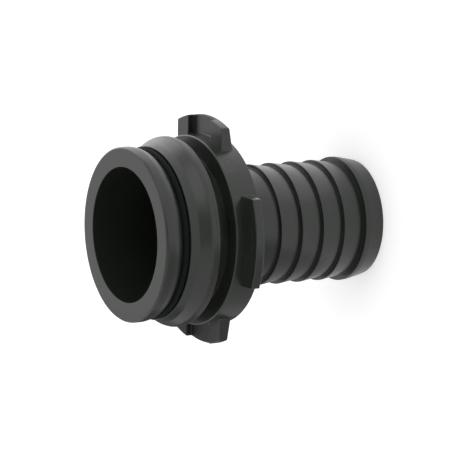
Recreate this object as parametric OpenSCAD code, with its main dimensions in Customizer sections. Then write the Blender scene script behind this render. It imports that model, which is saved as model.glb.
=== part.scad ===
// Straight hose connector: a moulded spigot with a seal ring, a clip groove, a flange with
// four lugs and a barbed hose tail. It stands on the end of its tail, spigot up.
// Millimetres. The origin is on the axis, in the plane of the tail's end.

/* [Hose tail] */
// Diameter over the crests of the barbs
barb_d = 51; // [49.5:0.25:52]
// Diameter at the foot of each barb, which is the neck's diameter too
root_d = 48; // [46.5:0.25:49]
// Distance from one barb to the next
barb_pitch = 10.2; // [8:0.1:14]
// Number of barbs between the neck and the end collar
barb_count = 4; // [2:1:6]
// Flat width on the crest of each barb
crest_land = 0.4; // [0.2:0.1:1]
// Diameter of the collar at the tail's end
collar_d = 52.5; // [52:0.25:54]
// Length of the collar, from its step to the tail's end
collar_len = 9.5; // [7:0.25:13]
// Flat width on the collar, ahead of its taper
collar_land = 2; // [1:0.25:4]
// Diameter where the collar's taper ends
tail_end_d = 49.1; // [48:0.1:50]
// Radius on the outer edge of the tail's end
tail_rim_r = 0.3; // [0.1:0.1:0.6]
// Diameter of the waterway through the tail
tail_bore_d = 42; // [38:0.5:43.5]
// Smooth neck between the flange and the first barb
neck_len = 17.3; // [12:0.1:30]

/* [Flange and lugs] */
// Diameter of the flange, which is the socket's bore less its clearance
flange_d = 79; // [76:0.5:82]
// Thickness of the flange along the axis
flange_len = 12.3; // [10:0.1:16]
// Diameter over the tips of the lugs
lug_tip_d = 95.6; // [90:0.2:104]
// Width of a lug across its two parallel ends
lug_w = 36.8; // [30:0.2:44]
// Thickness of a lug where it leaves the flange
lug_root_t = 5.3; // [4.5:0.1:6.5]
// Thickness of a lug at its tip
lug_tip_t = 3.8; // [3:0.1:4.4]
// Distance from the flange's front face back to the lugs
lug_setback = 4.5; // [3.5:0.25:5.5]
// Width of the keyway in the front of two opposite lugs
key_w = 19; // [12:0.2:22]
// Depth of that keyway
key_depth = 2.5; // [1.5:0.1:2.6]

/* [Clip groove and bead] */
// Width of the groove that takes the locking clip
clip_w = 6.8; // [5:0.1:9]
// Depth of that groove, below the flange's diameter
clip_depth = 7.5; // [3:0.1:8]
// Diameter of the bead at its crown
bead_d = 79; // [77:0.5:80]
// Length of the bead along the axis, its heel and its shoulder included
bead_len = 12.4; // [11:0.1:16]
// Diameter of the bead's shoulder at the edge of the seal groove
shoulder_lip_d = 71.9; // [71.4:0.1:73]
// Diameter of that shoulder at the foot of the bead's ramp
shoulder_d = 73.5; // [73:0.1:74.5]
// Length of the shoulder
shoulder_len = 4; // [2.5:0.1:4.2]
// Length of the ramp between the shoulder and the crown
ramp_len = 4.2; // [3.5:0.1:4.6]
// Radius that rounds the ramp into the crown
crown_round = 4; // [2:0.25:5]
// Radius of the hollow between the shoulder and the ramp
shoulder_round = 2.5; // [1:0.25:5]
// Length of the slightly lower band behind the bead's crown
bead_heel_len = 1.8; // [1:0.1:3]
// Drop from the crown to that band
bead_heel_drop = 0.4; // [0.1:0.05:0.6]

/* [Spigot and seal] */
// Diameter of the spigot's land, which leads into the socket
spigot_d = 72.4; // [72:0.1:73]
// Length of the spigot, from its face to the seal groove
spigot_len = 7.9; // [6.5:0.1:10]
// Length of the spigot that stays cylindrical, its rounded rim included
spigot_land = 3.2; // [2:0.1:4]
// Diameter of the spigot at the edge of the seal groove
spigot_lip_d = 71.4; // [70:0.1:71.5]
// Radius on the spigot's edge over the seal groove
lip_rim_r = 0.3; // [0.1:0.05:0.4]
// Diameter of the bore in the spigot
spigot_bore_d = 56; // [50:0.5:58]
// Radius on the outer edge of the spigot's face
face_rim_r = 1; // [0.3:0.1:1.5]
// Thickness of the seal ring's cord
cord_d = 3; // [2.6:0.1:3.4]
// How far the seal ring stands proud of the spigot's land
seal_proud = 0.1; // [0.1:0.05:0.4]
// How far the seal ring is pressed flat against its groove's floor
seal_press = 0.04; // [0.02:0.01:0.2]
// Clearance along the axis between the seal ring and each side of its groove
seal_gap = 0.12; // [0.05:0.01:0.3]

/* [Moulding] */
// Radius on the rims and outer edges that face the socket
rim_r = 0.6; // [0.3:0.1:1]
// Radius on the back edges of the flange and the lugs
back_rim_r = 0.3; // [0.1:0.1:0.6]
// Radius of the fillet between the neck and the flange
neck_fillet = 2; // [1:0.25:3]
// Chamfer at the mouth of the tail's bore
mouth_chamfer = 0.5; // [0.2:0.1:1]
// Length of the funnel between the two bores
funnel_len = 10; // [8:0.5:14]
// Thickness left between the end of the funnel and the back of the flange
funnel_floor = 2; // [1.5:0.25:4]

/* [Hidden] */
$fn = 160;
fine_fn = 720;
eps = 0.01;
moulded = [0.13, 0.135, 0.135];
rubber = [0.05, 0.05, 0.055];

// Heights along the axis, from the tail's end up to the spigot's face
first_barb_z = collar_len + barb_count * barb_pitch;
flange_z = first_barb_z + neck_len;
clip_z = flange_z + flange_len;
bead_z = clip_z + clip_w;
crown_z = bead_z + bead_heel_len;
seal_z = bead_z + bead_len;
ramp_z = seal_z - shoulder_len;
ramp_top_z = ramp_z - ramp_len;
seal_w = cord_d + 2 * seal_gap;
spigot_z = seal_z + seal_w;
land_z = spigot_z + spigot_len - spigot_land;
face_z = spigot_z + spigot_len;
lug_z = clip_z - lug_setback;

// Radii of the outsides, of the lugs' feet inside the flange and of the grooves' floors
tip_r = lug_tip_d / 2;
lug_foot_r = flange_d / 2 - rim_r;
clip_floor_r = flange_d / 2 - clip_depth;
seal_crest_r = spigot_d / 2 + seal_proud;
seal_mid_r = seal_crest_r - cord_d / 2;
seal_floor_r = seal_crest_r - cord_d + seal_press;
funnel_z = flange_z + funnel_floor;

// Radius of the arc that leaves a straight line smoothly and falls by drop over run
function arc_r(run, drop) = (run * run + drop * drop) / (2 * drop);

// A block of the wall's section between two heights, from the axis to one radius
module band(r, z0, z1) translate([0, z0]) square([r, z1 - z0]);

// A block whose outer side runs straight from one radius to another
module taper(r0, z0, r1, z1) polygon([[0, z0], [r0, z0], [r1, z1], [0, z1]]);

// A block whose top end falls away in an arc of the given drop
module crowned(r, z0, z1, drop) {
    rad = arc_r(z1 - z0, drop);
    intersection() {
        band(r, z0, z1);
        translate([r - rad, z0]) circle(rad, $fn = fine_fn);
    }
}

// The sliver between a corner and the arc that rounds it, to take off an edge or to fill a hollow.
// Directions d0 and d1 point from the arc's centre to the two walls that meet in the corner.
module corner_sliver(corner, d0, d1, rad) {
    mid = (d0 + d1) / 2;
    half = (d1 - d0) / 2;
    towards = [cos(mid), sin(mid)] / cos(half);
    centre = corner - rad * towards;
    difference() {
        polygon([
            centre,
            centre + (rad + eps) * [cos(d0), sin(d0)],
            corner + eps * towards,
            centre + (rad + eps) * [cos(d1), sin(d1)]
        ]);
        translate(centre) circle(rad, $fn = fine_fn);
    }
}

// One barb: a square step that faces the flange, a narrow land and a long slope to the tail's end
module barb_section(z) {
    taper(root_d / 2, z - barb_pitch, barb_d / 2, z - crest_land);
    band(barb_d / 2, z - crest_land, z);
}

module tail_section() {
    taper_lean = atan((collar_d - tail_end_d) / 2 / (collar_len - collar_land));
    difference() {
        union() {
            taper(tail_end_d / 2, 0, collar_d / 2, collar_len - collar_land);
            band(collar_d / 2, collar_len - collar_land, collar_len);
        }
        corner_sliver([tail_end_d / 2, 0], -90, -taper_lean, tail_rim_r);
    }
    for (i = [1 : barb_count]) barb_section(collar_len + i * barb_pitch);
    band(root_d / 2, first_barb_z - eps, flange_z + eps);
    corner_sliver([root_d / 2, flange_z], 90, 180, neck_fillet);
}

module flange_section() {
    difference() {
        band(flange_d / 2, flange_z, clip_z);
        corner_sliver([flange_d / 2, clip_z], 0, 90, rim_r);
        corner_sliver([flange_d / 2, flange_z], -90, 0, back_rim_r);
    }
    band(clip_floor_r, clip_z - eps, bead_z + eps);
}

// The bead: a low heel, the crown, a ramp down from it and a shoulder that leads to the seal
module bead_section() {
    crown_r = bead_d / 2;
    heel_r = crown_r - bead_heel_drop;
    ramp_lean = atan((bead_d - shoulder_d) / 2 / ramp_len);
    shoulder_lean = atan((shoulder_d - shoulder_lip_d) / 2 / shoulder_len);
    difference() {
        union() {
            band(heel_r, bead_z, crown_z + eps);
            band(crown_r, crown_z, ramp_top_z + eps);
            taper(crown_r, ramp_top_z, shoulder_d / 2, ramp_z);
            taper(shoulder_d / 2, ramp_z, shoulder_lip_d / 2, seal_z);
            corner_sliver([shoulder_d / 2, ramp_z], 180 + ramp_lean, 180 + shoulder_lean, shoulder_round);
        }
        corner_sliver([crown_r, ramp_top_z], 0, ramp_lean, crown_round);
        corner_sliver([crown_r, crown_z], -90, 0, back_rim_r);
        corner_sliver([heel_r, bead_z], -90, 0, rim_r);
    }
}

module spigot_section() {
    lip_len = land_z - spigot_z;
    lip_drop = (spigot_d - spigot_lip_d) / 2;
    lip_lean = asin(lip_len / arc_r(lip_len, lip_drop));
    band(seal_floor_r, seal_z - eps, spigot_z + eps);
    difference() {
        union() {
            translate([0, land_z + spigot_z]) mirror([0, 1])
                crowned(spigot_d / 2, spigot_z, land_z, lip_drop);
            band(spigot_d / 2, land_z, face_z);
        }
        corner_sliver([spigot_d / 2, face_z], 0, 90, face_rim_r);
        corner_sliver([spigot_lip_d / 2, spigot_z], -90, -lip_lean, lip_rim_r);
    }
}

// The waterway: a straight bore in the tail, a funnel inside the flange and a wider spigot bore
module bore_section() {
    band(tail_bore_d / 2, -eps, funnel_z + eps);
    taper(tail_bore_d / 2 + mouth_chamfer + eps, -eps, tail_bore_d / 2, mouth_chamfer);
    taper(tail_bore_d / 2, funnel_z, spigot_bore_d / 2, funnel_z + funnel_len);
    band(spigot_bore_d / 2, funnel_z + funnel_len - eps, face_z + eps);
}

// The lugs' section: a straight front, a back that leans towards the tip, and rounded tip edges
module lug_section() {
    back_z = lug_z - lug_tip_t;
    slope = (lug_root_t - lug_tip_t) / (tip_r - flange_d / 2);
    lean = slope * (tip_r - lug_foot_r);
    difference() {
        polygon([[lug_foot_r, back_z - lean], [tip_r, back_z], [tip_r, lug_z], [lug_foot_r, lug_z]]);
        corner_sliver([tip_r, lug_z], 0, 90, rim_r);
        corner_sliver([tip_r, back_z], atan(slope) - 90, 0, back_rim_r);
    }
}

// Four lugs a quarter turn apart, cut from one ring so that their tips share the axis
module lug_ring() {
    intersection() {
        rotate_extrude() lug_section();
        for (a = [0, 90]) rotate(a)
            translate([-tip_r - rim_r, -lug_w / 2, flange_z])
                cube([2 * (tip_r + rim_r), lug_w, flange_len]);
    }
}

// The keyways in the front of the two lugs on the X axis, open at the front and at the tip
module keyways() {
    for (side = [-1, 1]) translate([side * tip_r, 0, lug_z - key_depth / 2 + eps])
        cube([2 * (tip_r - flange_d / 2), key_w, key_depth + 2 * eps], center = true);
}

module connector_body() {
    color(moulded) {
        rotate_extrude() difference() {
            union() {
                tail_section();
                flange_section();
                bead_section();
                spigot_section();
            }
            bore_section();
        }
        difference() {
            lug_ring();
            keyways();
        }
    }
}

// The seal ring: a round cord, pressed flat where it sits on the floor of its groove
module seal_ring() {
    color(rubber) rotate_extrude() intersection() {
        translate([seal_mid_r, seal_z + seal_w / 2]) circle(cord_d / 2);
        translate([seal_floor_r, seal_z]) square([cord_d, seal_w]);
    }
}

connector_body();
seal_ring();
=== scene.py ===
import math

import bmesh
import bpy
from mathutils import Matrix, Vector


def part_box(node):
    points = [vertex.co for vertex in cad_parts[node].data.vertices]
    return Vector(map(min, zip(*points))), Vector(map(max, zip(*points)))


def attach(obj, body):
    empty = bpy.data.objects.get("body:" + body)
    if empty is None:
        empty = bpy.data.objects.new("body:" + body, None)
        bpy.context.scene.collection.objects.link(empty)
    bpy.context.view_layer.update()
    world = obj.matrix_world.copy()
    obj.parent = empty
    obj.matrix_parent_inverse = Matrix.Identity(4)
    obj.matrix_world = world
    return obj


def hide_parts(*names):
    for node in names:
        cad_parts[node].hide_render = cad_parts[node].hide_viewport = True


# Straight hose connector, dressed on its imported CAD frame. Sizes are in metres.
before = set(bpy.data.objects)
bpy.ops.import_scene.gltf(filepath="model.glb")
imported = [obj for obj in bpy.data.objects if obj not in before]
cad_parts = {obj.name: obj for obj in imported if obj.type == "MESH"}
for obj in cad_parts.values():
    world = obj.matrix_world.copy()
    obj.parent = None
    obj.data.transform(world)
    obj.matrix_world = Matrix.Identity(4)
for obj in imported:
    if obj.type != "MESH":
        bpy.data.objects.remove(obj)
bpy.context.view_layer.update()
mm = 0.001


# Moulded body: one injection moulding in black plastic, satin as it leaves the tool.
# Spigot, bead, clip groove, flange, neck and barbed tail are round, so the wall is
# drawn once as a section and spun about the axis. The seal ring sits in its groove.

tail_bore_r = 21.0 * mm
mouth_chamfer = 0.5 * mm
spigot_bore_r = 28.0 * mm
root_r = 24.0 * mm
barb_r = 25.5 * mm
barb_land = 0.4 * mm
barb_pitch = 10.2 * mm
barb_count = 4
collar_r = 26.25 * mm
collar_land = 2.0 * mm
collar_z = 9.5 * mm
tail_end_r = 24.55 * mm
flange_z = 67.6 * mm
flange_r = 39.5 * mm
clip_z = 79.9 * mm
clip_floor_r = 32.0 * mm
bead_z = 86.7 * mm
bead_crown_z = 88.5 * mm
bead_heel_r = 39.1 * mm
ramp_top_z = 90.9 * mm
ramp_z = 95.1 * mm
shoulder_r = 36.75 * mm
shoulder_lip_r = 35.9 * mm
seal_z = 98.9 * mm
seal_floor_r = 32.75 * mm
seal_cord_r = 1.38 * mm
seal_foot_z = seal_z + 2 * seal_cord_r
seal_wall_r = 34.2 * mm
spigot_r = 36.2 * mm
spigot_land_z = 104.5 * mm
face_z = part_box("connector_body")[1].z
funnel_z = 69.6 * mm
funnel_top_z = 79.6 * mm

# Lugs on the flange, and how far their fillets and rounds reach
lug_z = 75.4 * mm
lug_root_t = 5.3 * mm
lug_tip_t = 3.8 * mm
lug_tip_r = 47.8 * mm
lug_half_w = 18.4 * mm
key_half_w = 9.5 * mm
key_depth = 2.5 * mm
foot_front = 0.05 * mm
foot_side = 0.4 * mm
foot_key = 0.3 * mm
foot_back = 0.5 * mm
tip_round = 0.45 * mm
edge_round = 0.2 * mm
back_row = lug_z - lug_root_t - foot_back
key_row = lug_z - key_depth + foot_key
front_row = lug_z + foot_front

# How far the round of each edge reaches over the wall
fine_round = 0.15 * mm
step_round = 0.12 * mm
tail_rim_round = 0.24 * mm
tail_collar_round = 0.9 * mm
barb_land_round = 0.18 * mm
barb_crest_round = 0.1 * mm
neck_fillet = 2.0 * mm
back_rim_round = 0.3 * mm
front_rim_round = 0.6 * mm
bead_heel_round = 0.7 * mm
bead_crown_round = 0.3 * mm
ramp_top_round = 1.19 * mm
shoulder_round = 0.48 * mm
seal_groove_round = 0.2 * mm
spigot_back_round = 2.4 * mm
face_round = 1.0 * mm
bore_rim_round = 0.25 * mm
funnel_round = 1.5 * mm

# Corners of the wall's section: radius, height, and the reach of the round
section = [
    (tail_bore_r + mouth_chamfer, 0, fine_round),
    (tail_end_r, 0, tail_rim_round),
    (collar_r, collar_z - collar_land, tail_collar_round),
    (collar_r, collar_z, step_round),
]
for barb in range(barb_count):
    foot_z = collar_z + barb * barb_pitch
    section += [
        (root_r, foot_z, step_round),
        (barb_r, foot_z + barb_pitch - barb_land, barb_land_round),
        (barb_r, foot_z + barb_pitch, barb_crest_round),
    ]
section += [
    (root_r, collar_z + barb_count * barb_pitch, step_round),
    (root_r, flange_z, neck_fillet),
    (flange_r, flange_z, back_rim_round),
    (flange_r, back_row, 0),
    (flange_r, key_row, 0),
    (flange_r, front_row, 0),
    (flange_r, clip_z, front_rim_round),
    (clip_floor_r, clip_z, fine_round),
    (clip_floor_r, bead_z, fine_round),
    (bead_heel_r, bead_z, bead_heel_round),
    (bead_heel_r, bead_crown_z, step_round),
    (flange_r, bead_crown_z, bead_crown_round),
    (flange_r, ramp_top_z, ramp_top_round),
    (shoulder_r, ramp_z, shoulder_round),
    (shoulder_lip_r, seal_z, fine_round),
    (seal_floor_r, seal_z, seal_groove_round),
    (seal_floor_r, seal_foot_z, seal_groove_round),
    (seal_wall_r, seal_foot_z, fine_round),
    (spigot_r, spigot_land_z, spigot_back_round),
    (spigot_r, face_z, face_round),
    (spigot_bore_r, face_z, bore_rim_round),
    (spigot_bore_r, funnel_top_z, funnel_round),
    (tail_bore_r, funnel_z, funnel_round),
    (tail_bore_r, mouth_chamfer, fine_round),
]
arc_step = 0.25 * mm
turn_steps = 360


def spun(corners, steps):
    """A closed section with rounded corners, spun about the axis into a ring."""
    shape = bmesh.new()
    outline = [shape.verts.new((r, 0, z)) for r, z, _ in corners]
    shape.faces.new(outline)
    for corner, (_, _, reach) in zip(outline, corners):
        if reach:
            bmesh.ops.bevel(
                shape, geom=[corner], affect="VERTICES", offset=reach, profile=0.5,
                segments=max(4, round(reach / arc_step)), offset_type="OFFSET", material=-1,
                clamp_overlap=False,
            )
    bmesh.ops.delete(shape, geom=shape.faces[:], context="FACES_ONLY")
    bmesh.ops.spin(
        shape, geom=shape.edges[:] + shape.verts[:], cent=(0, 0, 0), axis=(0, 0, 1),
        angle=math.tau, steps=steps, use_merge=True,
    )
    bmesh.ops.remove_doubles(shape, verts=shape.verts[:], dist=1e-7)
    bmesh.ops.recalc_face_normals(shape, faces=shape.faces[:])
    return shape


def finished(shape, name, material, node):
    """The finished mesh as a piece on the part's one body, in place of its CAD node."""
    mesh = bpy.data.meshes.new(name)
    shape.to_mesh(mesh)
    shape.free()
    mesh.shade_smooth()
    mesh.materials.append(material)
    piece = bpy.data.objects.new(name, mesh)
    bpy.context.scene.collection.objects.link(piece)
    normals = piece.modifiers.new("even_shading", "WEIGHTED_NORMAL")
    normals.keep_sharp = True
    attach(piece, "root")
    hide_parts(node)


body = spun(section, turn_steps)


def eased(value, stops, places):
    """Straight steps between matching stops and places."""
    for low, high, start, end in zip(stops, stops[1:], places, places[1:]):
        if value <= high + 1e-9:
            return start + (end - start) * (value - low) / (high - low)
    return places[-1]


def hollow(height, reach):
    """How far a fillet still reaches outwards at a height above its foot."""
    rest = max(0.0, reach - height)
    return reach - math.sqrt(max(0.0, reach * reach - rest * rest))


# Each lug grows out of the flange in thin layers, so that its foot has a
# fillet, its tip a round edge, and the keyway runs through front and tip.
lug_reach = lug_tip_r - flange_r
edge_across = lug_half_w + foot_side
key_across = key_half_w - foot_key
column = math.tau / turn_steps
edge_column = round(math.asin(edge_across / flange_r) / column)
key_column = round(math.asin(key_across / flange_r) / column)
lug_rows = [back_row, key_row, front_row]
layers = [foot_back * share for share in (0.03, 0.12, 0.28, 0.5, 0.75, 1.0)]
layers += [lug_reach - tip_round * share for share in (1.0, 0.6, 0.3, 0.1, 0.0)]
near = 1e-6


def settle(corners, turn, height):
    """Puts a layer's corners at a height above the flange."""
    off = hollow(lug_reach - height, tip_round)
    side = hollow(height, foot_side) - off
    front = hollow(height, foot_front) - off
    back = hollow(height, foot_back) - off
    wall = hollow(height, foot_key) - off
    lean = (lug_root_t - lug_tip_t) * height / lug_reach
    levels = [lug_z - lug_root_t + lean - back, lug_z - key_depth + wall, lug_z + front]
    widths = [0, key_half_w - wall, lug_half_w + side]
    for corner, (aside, row) in corners.items():
        across = eased(abs(aside), [0, key_across, edge_across], widths)
        out = math.sqrt((flange_r + height) ** 2 - across ** 2)
        corner.co = turn @ Vector((out, math.copysign(across, aside), levels[row]))


for quarter in range(4):
    turn = Matrix.Rotation(quarter * math.pi / 2, 3, "Z")
    keyed = quarter % 2 == 0

    # Columns of the flange beside the lug close up to its exact foot
    places = {}
    for corner in body.verts:
        seen = turn.transposed() @ corner.co
        on_flange = abs(math.hypot(seen.x, seen.y) - flange_r) < near and seen.x > 0
        if on_flange and back_row - near < seen.z < front_row + near:
            step = round(math.atan2(seen.y, seen.x) / column)
            if abs(step) <= edge_column:
                stops = [0, key_column, edge_column]
                aside = eased(abs(step), stops, [0, key_across, edge_across])
                row = min(range(3), key=lambda i: abs(lug_rows[i] - seen.z))
                places[corner] = (math.copysign(aside, step), row)
    patch = []
    for face in body.faces:
        if all(corner in places for corner in face.verts):
            across = sum(abs(places[corner][0]) for corner in face.verts) / 4
            in_front = all(places[corner][1] > 0 for corner in face.verts)
            if not (keyed and in_front and across < key_across):
                patch.append(face)
    settle(places, turn, 0.0)

    for height in layers:
        grown = bmesh.ops.extrude_face_region(body, geom=patch)["geom"]
        bmesh.ops.delete(body, geom=patch, context="FACES_ONLY")
        patch = [part for part in grown if isinstance(part, bmesh.types.BMFace)]
        moved = {}
        for corner in grown:
            if isinstance(corner, bmesh.types.BMVert):
                below = min(places, key=lambda old: (old.co - corner.co).length_squared)
                moved[corner] = places[below]
        places = moved
        settle(places, turn, height)
bmesh.ops.recalc_face_normals(body, faces=body.faces[:])

# The lugs' straight edges get the small round that every moulded edge has
above_foot_r = flange_r + 0.9 * foot_back
square_turn = math.radians(50)
square_edges = []
for edge in body.edges:
    low = min(math.hypot(corner.co.x, corner.co.y) for corner in edge.verts)
    if low > above_foot_r and edge.calc_face_angle(0.0) > square_turn:
        square_edges.append(edge)
bmesh.ops.bevel(
    body, geom=square_edges, affect="EDGES", offset=edge_round, profile=0.5, segments=3,
    offset_type="OFFSET", material=-1, clamp_overlap=True,
)


class Signal:
    """A shader socket that takes part in sums. Every other node comes from node()."""

    def __init__(self, tree, socket=None):
        self.tree = tree
        self.socket = socket

    def node(self, kind, settings, inputs, out=0):
        made = self.tree.nodes.new(kind)
        for name, value in settings.items():
            setattr(made, name, value)
        for key, value in inputs.items():
            if isinstance(value, Signal):
                self.tree.links.new(value.socket, made.inputs[key])
            else:
                made.inputs[key].default_value = value
        return Signal(self.tree, made.outputs[out] if made.outputs else None)

    def maths(self, operation, first, second=0.0, limit=False):
        settings = {"operation": operation, "use_clamp": limit}
        return self.node("ShaderNodeMath", settings, {0: first, 1: second})

    def __add__(self, other):
        return self.maths("ADD", self, other)

    def __radd__(self, other):
        return self.maths("ADD", other, self)

    def __sub__(self, other):
        return self.maths("SUBTRACT", self, other)

    def __rsub__(self, other):
        return self.maths("SUBTRACT", other, self)

    def __mul__(self, other):
        return self.maths("MULTIPLY", self, other)

    def __rmul__(self, other):
        return self.maths("MULTIPLY", other, self)


def blank(name):
    """A new material with an empty node tree, and the Signal that fills it."""
    material = bpy.data.materials.new(name)
    material.use_nodes = True
    material.node_tree.nodes.clear()
    return material, Signal(material.node_tree)


def surfaced(tree, inputs):
    """Ends a material in one surface with these sockets."""
    surface = tree.node("ShaderNodeBsdfPrincipled", {}, inputs)
    tree.node("ShaderNodeOutputMaterial", {}, {"Surface": surface})


def grain(tree, vector, size, detail=3.0, roughness=0.6):
    """Soft noise whose lumps are about size across, from 0 to 1."""
    inputs = {"Vector": vector, "Scale": 1 / size, "Detail": detail, "Roughness": roughness}
    return tree.node("ShaderNodeTexNoise", {}, inputs)


def between(tree, share, low, high):
    """A colour between two, by a share from 0 to 1."""
    settings = {"data_type": "RGBA", "clamp_factor": True}
    return tree.node("ShaderNodeMix", settings, {0: share, 6: (*low, 1), 7: (*high, 1)}, 2)


def swell(tree, height, depth, normal=None):
    """A bump of the given depth, on top of another if there is one."""
    inputs = {"Height": height, "Distance": depth, "Strength": 1.0}
    if normal:
        inputs["Normal"] = normal
    return tree.node("ShaderNodeBump", {}, inputs)


def ramp(tree, value, low, high, start=0.0, end=1.0):
    """A smooth step from start to end, while the value goes from low to high."""
    settings = {"interpolation_type": "SMOOTHSTEP"}
    return tree.node("ShaderNodeMapRange", settings, {0: value, 1: low, 2: high, 3: start, 4: end})


moulded, tree = blank("moulded_black")
place = tree.node("ShaderNodeTexCoord", {}, {}, 3)
x, y, z = [tree.node("ShaderNodeSeparateXYZ", {}, {"Vector": place}, axis) for axis in range(3)]
radius = tree.maths("SQRT", x * x + y * y)
stretch = 0.12
ringwise = tree.node(
    "ShaderNodeCombineXYZ", {}, {"X": x * stretch, "Y": y * stretch, "Z": z + radius}
)
mottle = grain(tree, place, 9 * mm)
flow = grain(tree, ringwise, 1.6 * mm)
skin = grain(tree, place, 0.35 * mm, detail=2.0, roughness=0.5)

# The round mark of an ejector pin beside the keyed lug, sunk a little into the flange
pin_turn = math.radians(-40.5)
pin_z = 75.45 * mm
pin_r = 3.1 * mm
pin_rim = 0.25 * mm
pin_depth = 0.10 * mm
pin_spot = (flange_r * math.cos(pin_turn), flange_r * math.sin(pin_turn), pin_z)
pin_off = tree.node("ShaderNodeVectorMath", {"operation": "DISTANCE"}, {0: place, 1: pin_spot}, 1)
pin_mark = ramp(tree, pin_off, pin_r, pin_r + pin_rim)

# The slanting line on one plain lug's tip, where two parts of the mould met
line_x = -6.8 * mm
line_z = 75.1 * mm
line_slant = 0.877
line_half_w = 0.1 * mm
line_depth = 0.06 * mm
line_end_y = -44.0 * mm
across = x - line_x + line_slant * (line_z - z)
mould_line = ramp(tree, across, -line_half_w, line_half_w)
mould_line *= ramp(tree, y, line_end_y - 2 * line_half_w, line_end_y, 1, 0)

deep_black = (0.0085, 0.0113, 0.0084)
flow_black = (0.0150, 0.0179, 0.0148)
colour = between(tree, mottle * 0.6 + flow * 0.4, deep_black, flow_black)
gloss = 0.24 + 0.08 * mottle + 0.05 * flow
bumps = swell(tree, flow, 0.010 * mm, swell(tree, skin, 0.003 * mm))
bumps = swell(tree, mould_line, line_depth, swell(tree, pin_mark, pin_depth, bumps))
surfaced(tree, {"Base Color": colour, "Roughness": gloss, "Normal": bumps, "IOR": 1.5})
finished(body, "moulded_body", moulded, "connector_body")


# Seal ring: a round cord of black rubber in the groove behind the spigot's face,
# stretched over the spigot and pressed a little flat on the groove's floor.

seal_press = 0.04 * mm
seal_crest_r = seal_floor_r + 2 * seal_cord_r - seal_press
seal_floor_round = 1.0 * mm
seal_crest_round = 0.98 * seal_cord_r
seal_section = [
    (seal_floor_r, seal_z, seal_floor_round),
    (seal_crest_r, seal_z, seal_crest_round),
    (seal_crest_r, seal_foot_z, seal_crest_round),
    (seal_floor_r, seal_foot_z, seal_floor_round),
]
seal = spun(seal_section, steps=240)

rubber, tree = blank("seal_black")
place = tree.node("ShaderNodeTexCoord", {}, {}, 3)
dust = grain(tree, place, 0.8 * mm)
rubber_black = (0.002, 0.0035, 0.0045)
dusty_black = (0.004, 0.0055, 0.0065)
surfaced(tree, {
    "Base Color": between(tree, dust, rubber_black, dusty_black),
    "Roughness": 0.75 + 0.15 * dust,
    "Normal": swell(tree, dust, 0.01 * mm),
    "Specular IOR Level": 0.15,
    "IOR": 1.5,
})
finished(seal, "rubber_seal", rubber, "seal_ring")


# Studio: a plain pale floor under the standing part, an even white room round it,
# a soft lamp over the part's +X side and a grey card behind the camera.

def panel(name, size, spot, material):
    """A flat square of the stage, facing up."""
    shape = bmesh.new()
    bmesh.ops.create_grid(shape, x_segments=1, y_segments=1, size=size / 2)
    mesh = bpy.data.meshes.new(name)
    shape.to_mesh(mesh)
    shape.free()
    mesh.materials.append(material)
    made = bpy.data.objects.new(name, mesh)
    made.location = spot
    bpy.context.scene.collection.objects.link(made)
    return made


floor_level = 0.82
floor_glow = 0.40
pale, tree = blank("pale_floor")
camera_ray = tree.node("ShaderNodeLightPath", {}, {}, "Is Camera Ray")
glossy_ray = tree.node("ShaderNodeLightPath", {}, {}, "Is Glossy Ray")
clear_ray = tree.node("ShaderNodeLightPath", {}, {}, "Is Transmission Ray")
rays = tree.maths("ADD", camera_ray + glossy_ray, clear_ray, limit=True)
lit = tree.node("ShaderNodeBsdfDiffuse", {}, {"Color": (floor_level, floor_level, floor_level, 1)})
glow = tree.node("ShaderNodeEmission", {}, {"Color": (1, 1, 1, 1), "Strength": rays * floor_glow})
both = tree.node("ShaderNodeAddShader", {}, {0: lit, 1: glow})
tree.node("ShaderNodeOutputMaterial", {}, {"Surface": both})
panel("floor", size=12.0, spot=(0, 0, 0), material=pale)

world = bpy.data.worlds.new("white_room")
world.use_nodes = True
world.node_tree.nodes.clear()
bpy.context.scene.world = world
tree = Signal(world.node_tree)
room = tree.node("ShaderNodeBackground", {}, {"Color": (1, 1, 1, 1), "Strength": 1.0})
tree.node("ShaderNodeOutputWorld", {}, {"Surface": room})

part_middle = Vector((0, 0, 0.06))
lamp = bpy.data.lights.new("overhead_box", "AREA")
lamp.shape = "SQUARE"
lamp.size = 1.2
lamp.energy = 3.5
lamp_object = bpy.data.objects.new("overhead_box", lamp)
lamp_object.location = (1.3, -0.5, 0.8)
aim = part_middle - lamp_object.location
lamp_object.rotation_euler = aim.to_track_quat("-Z", "Y").to_euler()
bpy.context.scene.collection.objects.link(lamp_object)

# The photograph looks at the face from the front left. Its top is the part's +X side,
# from which the part was turned a little about its axis.
part_turn = math.radians(1.22)
photo_view = Vector((0.1392, -0.8579, 0.4945)).normalized()
to_camera = Matrix.Rotation(part_turn, 3, "Z") @ photo_view
camera_right = Vector((math.cos(part_turn), math.sin(part_turn), 0)).cross(to_camera).normalized()
camera_up = to_camera.cross(camera_right)

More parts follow.
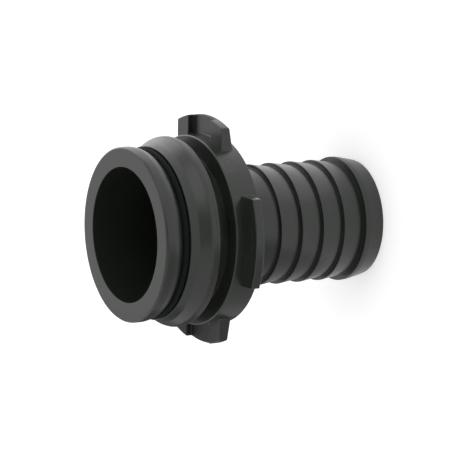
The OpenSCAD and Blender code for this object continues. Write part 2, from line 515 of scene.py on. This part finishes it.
# How far the camera stands from the middle of the spigot's face, and aside of it
camera_far = 1.38785
face_right = 0.0429
face_up = 0.00249
camera_data = bpy.data.cameras.new("camera")
camera_data.sensor_width = 36.0
camera_data.lens = 266.07
camera = bpy.data.objects.new("camera", camera_data)
spot = Vector((0, 0, face_z)) + to_camera * camera_far
spot += camera_right * face_right + camera_up * face_up
turned = Matrix((camera_right, camera_up, to_camera)).transposed()
camera.matrix_world = Matrix.Translation(spot) @ turned.to_4x4()
bpy.context.scene.collection.objects.link(camera)
bpy.context.scene.camera = camera
bpy.context.scene.view_settings.view_transform = "Standard"

grey_level = 0.45
grey_far = 1.7
grey, tree = blank("grey_card")
dull = tree.node("ShaderNodeBsdfDiffuse", {}, {"Color": (grey_level, grey_level, grey_level, 1)})
tree.node("ShaderNodeOutputMaterial", {}, {"Surface": dull})
card = panel("camera_card", size=1.1, spot=to_camera * grey_far, material=grey)
card.rotation_euler = to_camera.to_track_quat("Z", "Y").to_euler()
card.visible_camera = False

# Glowing cards, no lamps, that show only in the part's sheen and paint reflections into it:
# painted shade from dark ones under and behind its -X side, painted highlights from bright ones
# beyond its +X side


def painted_sheen_card(name, strength, size, spot, facing):
    """A glowing card of even brightness, no lamp, that only the part's sheen sees: a painted
    reflection.
    """
    light, tree = blank(name)
    glow = tree.node("ShaderNodeEmission", {}, {"Color": (1, 1, 1, 1), "Strength": strength})
    tree.node("ShaderNodeOutputMaterial", {}, {"Surface": glow})
    card = panel(name, size, spot, light)
    card.rotation_euler = Vector(facing).to_track_quat("Z", "Y").to_euler()
    card.visible_camera = card.visible_diffuse = False
    card.visible_shadow = card.visible_transmission = False


up = (0, 0, 1)
# Dimmer than the room: painted shade in the sheen of the part's -X side, from these two cards on
# the ground
painted_sheen_card("low_painted_shade_card", strength=0.55, size=0.6, spot=(-0.34, -0.25, 0.003), facing=up)
painted_sheen_card("back_painted_shade_card", strength=0.15, size=0.9, spot=(-0.485, 0.5, 0.004), facing=up)
# Small dim card behind the lower lug: painted shade in the sheen of that lug's front face
painted_sheen_card("lug_painted_shade_card", strength=0.15, size=0.03, spot=(-0.057, 0.062, 0.110), facing=(0, -1, 0))
# Brighter than the room: painted highlights in the sheen of the part's +X side, from these two
# glowing cards
painted_sheen_card("high_painted_highlight_card", strength=1.5, size=0.16, spot=(0.115, 0.04, 0.003), facing=up)
painted_sheen_card("side_painted_highlight_card", strength=2.4, size=0.2, spot=(0.145, 0.155, 0.15), facing=(-0.7, -0.72, 0))
